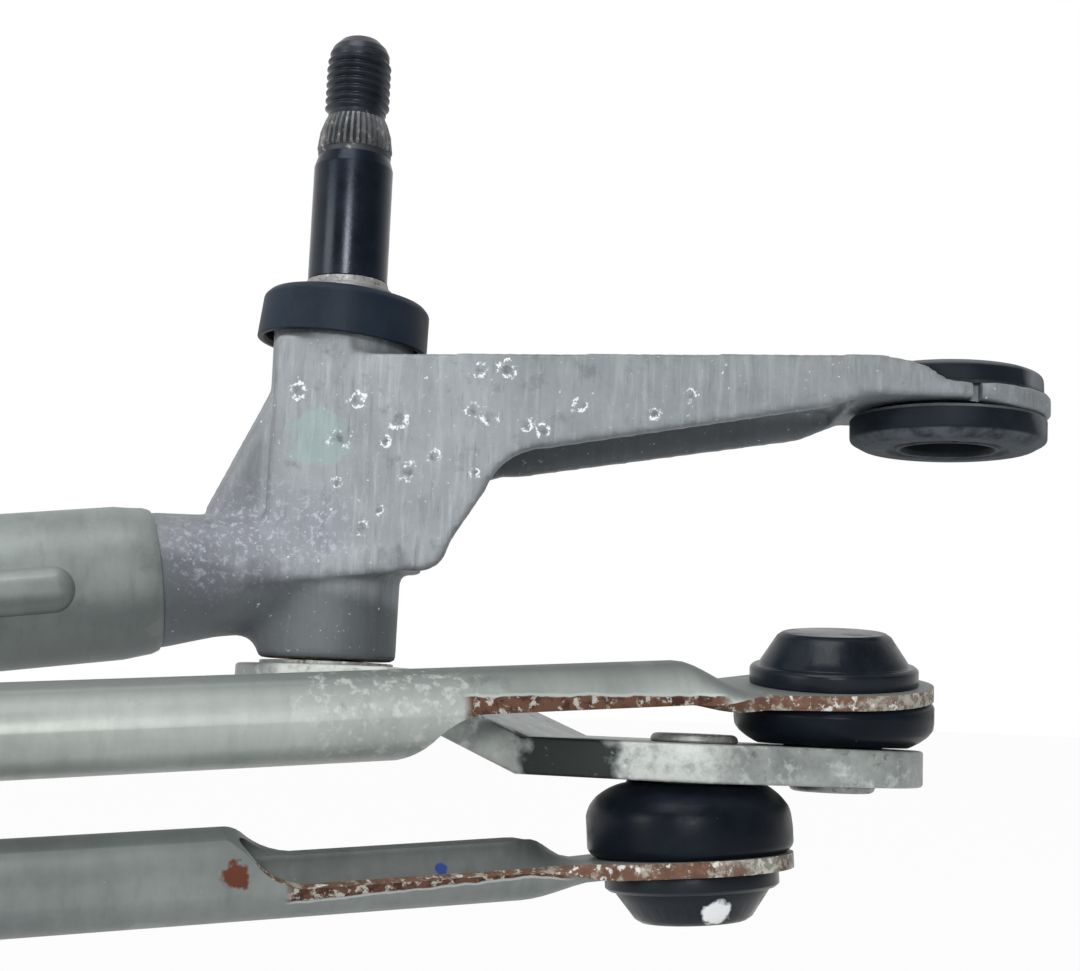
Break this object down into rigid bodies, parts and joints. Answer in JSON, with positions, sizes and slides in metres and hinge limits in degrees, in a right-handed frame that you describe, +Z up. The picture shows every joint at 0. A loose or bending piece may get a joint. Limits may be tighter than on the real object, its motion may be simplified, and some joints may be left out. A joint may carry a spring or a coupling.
{
  "type": "windshield wiper motor",
  "caption": "Wiper motor with its linkage: bent tube frame, cast pivots with knurled spindles, levers and ball-jointed link rods, geared motor on a bracket.",
  "frame": {"origin": "centre of the bore of the right-hand mounting eye's grommet", "axes": "+Z up along the wiper spindles and the eye's bore, +X to the right along the linkage away from the left-hand spindle, +Y towards the back, where the bracket's own eye is"},
  "size_m": [0.7053, 0.1747, 0.1669],
  "materials": {
    "die_casting": "matte, as cast",
    "galvanised_tube": "satin",
    "zinc_plated_steel": "satin",
    "blackened_steel": "glossy",
    "bright_steel": "satin",
    "black_rubber": "matte",
    "boot_rubber": "glossy",
    "black_polymer": "glossy",
    "cap_polymer": "matte",
    "cover_polymer": "matte",
    "sintered_bronze": "matte",
    "terminal_brass": "bright",
    "motor_paint": "satin",
    "ferrite": "matte",
    "brush_carbon": "matte",
    "wheel_polymer": "matte"
  },
  "bodies": {
    "frame": {"right_pivot_housing": "die_casting", "left_pivot_housing": "die_casting", "frame_tube": "galvanised_tube", "right_eye_grommet": "black_rubber", "left_eye_grommet": "black_rubber", "bracket_grommet": "black_rubber", "motor_bracket": "zinc_plated_steel", "bracket_screws": "zinc_plated_steel", "gear_housing": "die_casting", "gear_cover": "cover_polymer", "cover_screws": "zinc_plated_steel", "connector": "cover_polymer", "connector_terminals": "terminal_brass", "motor_can": "motor_paint", "can_screws": "zinc_plated_steel", "magnets": "ferrite", "brush_holder": "cover_polymer", "brushes": "brush_carbon", "output_bush": "sintered_bronze", "right_upper_bush": "sintered_bronze", "right_lower_bush": "sintered_bronze", "left_upper_bush": "sintered_bronze", "left_lower_bush": "sintered_bronze", "right_cup_cap": "cap_polymer", "left_cup_cap": "cap_polymer", "right_seal_ring": "black_rubber", "left_seal_ring": "black_rubber", "armature": "bright_steel"},
    "crank": {"output_shaft": "bright_steel", "worm_wheel": "wheel_polymer", "crank_arm": "zinc_plated_steel", "crank_nut": "zinc_plated_steel", "crank_ball_stud": "bright_steel"},
    "right_pivot": {"right_spindle": "blackened_steel", "right_lever": "zinc_plated_steel", "right_retaining_ring": "bright_steel", "right_thrust_washer": "bright_steel", "right_upper_ball_stud": "bright_steel", "right_lower_ball_stud": "bright_steel"},
    "left_pivot": {"left_spindle": "blackened_steel", "left_lever": "zinc_plated_steel", "left_retaining_ring": "bright_steel", "left_thrust_washer": "bright_steel", "left_ball_stud": "bright_steel"},
    "short_rod": {"short_link_rod": "zinc_plated_steel", "short_rod_right_socket": "black_polymer", "short_rod_right_boot": "boot_rubber", "short_rod_crank_socket": "black_polymer", "short_rod_crank_boot": "boot_rubber"},
    "long_rod": {"long_link_rod": "zinc_plated_steel", "long_rod_right_socket": "black_polymer", "long_rod_right_boot": "boot_rubber", "long_rod_left_socket": "black_polymer", "long_rod_left_boot": "boot_rubber"}
  },
  "joints": [
    {"name": "right_spindle_swing", "type": "hinge", "parent": "frame", "child": "right_pivot", "pos_m": [-0.08757, 0.02868, -0.04125], "axis": [0, 0, -1], "range_deg": [0, 90]},
    {"name": "left_spindle_swing", "type": "hinge", "parent": "frame", "child": "left_pivot", "pos_m": [-0.60634, 0.02868, -0.07707], "axis": [0, 0, -1], "range_deg": [0, 90]},
    {"name": "crank_swing", "type": "hinge", "parent": "frame", "child": "crank", "pos_m": [-0.33683, 0.02868, -0.04125], "axis": [0, 0, -1], "range_deg": [0, 90]},
    {"name": "short_rod_swing", "type": "hinge", "parent": "right_pivot", "child": "short_rod", "pos_m": [-0.02237, -0.00592, -0.04285], "axis": [0, 0, -1], "range_deg": [-90, 0]},
    {"name": "long_rod_swing", "type": "hinge", "parent": "right_pivot", "child": "long_rod", "pos_m": [-0.04357, -0.00532, -0.06685], "axis": [0, 0, -1], "range_deg": [-90, 0]}
  ],
  "couplings": [
    {"joint": "left_spindle_swing", "follows": "right_spindle_swing", "ratio": 1},
    {"joint": "crank_swing", "follows": "right_spindle_swing", "ratio": 1},
    {"joint": "short_rod_swing", "follows": "right_spindle_swing", "ratio": -1},
    {"joint": "long_rod_swing", "follows": "right_spindle_swing", "ratio": -1}
  ]
}
